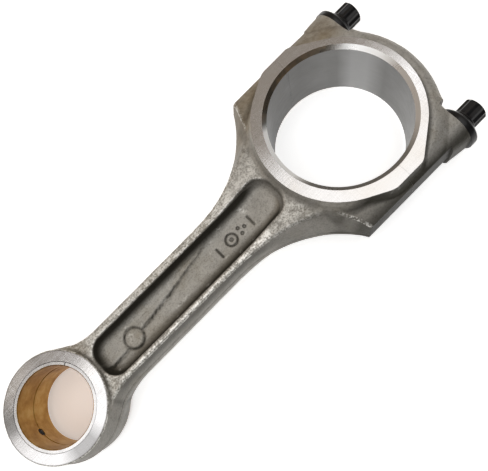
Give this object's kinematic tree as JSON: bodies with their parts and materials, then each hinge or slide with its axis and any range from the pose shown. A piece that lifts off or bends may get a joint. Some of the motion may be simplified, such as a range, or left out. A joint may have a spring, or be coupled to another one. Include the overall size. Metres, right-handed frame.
{
  "type": "connecting rod",
  "caption": "Forged I-beam connecting rod with a straight-cut bearing cap held by flanged bolts and a bronze-lined bush in the small end.",
  "frame": {"origin": "centre of the big-end bore on the rod's mid-plane", "axes": "+X from the big end to the small end, +Z along the bores, +Y across the two cap bolts"},
  "size_m": [0.2196, 0.085, 0.032],
  "materials": {
    "forged_steel": "shot-blasted forging with ground side faces and bores",
    "forged_steel_cap": "shot-blasted forging with ground side faces and bores",
    "bush_steel": "fine turned",
    "bush_bronze": "fine bored",
    "black_oxide": "black oxide, oiled"
  },
  "bodies": {
    "rod": {"rod_body": "forged_steel", "bush_backing": "bush_steel", "bush_lining": "bush_bronze"},
    "cap": {"cap": "forged_steel_cap"},
    "bolt_left": {"bolt_left": "black_oxide"},
    "bolt_right": {"bolt_right": "black_oxide"}
  },
  "joints": [
    {"name": "cap_slide", "type": "slide", "parent": "rod", "child": "cap", "axis": [-1, 0, 0], "range_m": [0, 0.045]},
    {"name": "bolt_left_draw", "type": "slide", "parent": "cap", "child": "bolt_left", "axis": [-1, 0, 0], "range_m": [0, 0.052]},
    {"name": "bolt_right_draw", "type": "slide", "parent": "cap", "child": "bolt_right", "axis": [-1, 0, 0], "range_m": [0, 0.052]}
  ]
}
